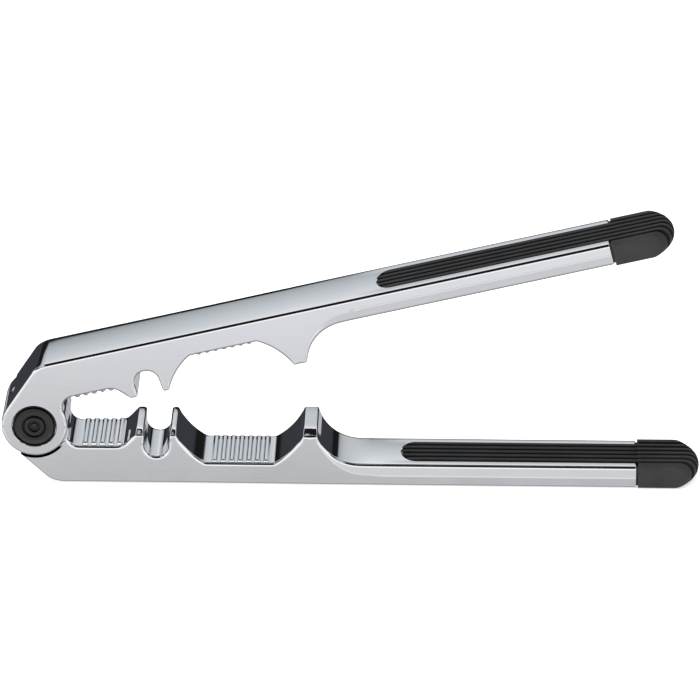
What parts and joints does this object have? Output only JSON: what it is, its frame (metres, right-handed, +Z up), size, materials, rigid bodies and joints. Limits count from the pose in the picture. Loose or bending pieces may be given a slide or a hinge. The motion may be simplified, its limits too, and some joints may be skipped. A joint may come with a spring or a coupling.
{
  "type": "lever nutcracker press",
  "caption": "Hand nutcracker of two chromed levers on a cross pivot, with ribbed cracking hollows between the jaws and black ribbed grips on the handles.",
  "frame": {"origin": "middle of the bounding box in plan, on the surface the lower lever's outer face lies on", "axes": "+X from the pivot towards the grips, +Y to the back cheek, +Z up from the lower lever's outer face"},
  "size_m": [0.2, 0.0198, 0.0799],
  "materials": {
    "polished_chrome": "polished chrome plate on a casting",
    "grip_plastic": "matt moulded soft plastic",
    "hinge_steel": "turned steel",
    "slide_plastic": "matt",
    "cap_plastic": "satin moulded plastic with turned rings"
  },
  "bodies": {
    "lower": {"lower_lever": "polished_chrome", "lower_grip": "grip_plastic", "pivot_barrel": "hinge_steel", "pivot_screw": "hinge_steel", "front_spring_washer": "hinge_steel", "back_spring_washer": "hinge_steel", "front_slide_washer": "slide_plastic", "middle_slide_washer": "slide_plastic", "back_slide_washer": "slide_plastic", "back_pivot_cap": "cap_plastic"},
    "upper": {"upper_lever": "polished_chrome", "upper_grip": "grip_plastic", "front_pivot_cap": "cap_plastic"}
  },
  "joints": [
    {"name": "lever_pivot", "type": "hinge", "parent": "lower", "child": "upper", "pos_m": [-0.0905, 0, 0.018], "axis": [0, -1, 0], "range_deg": [-15.9, 114]}
  ]
}
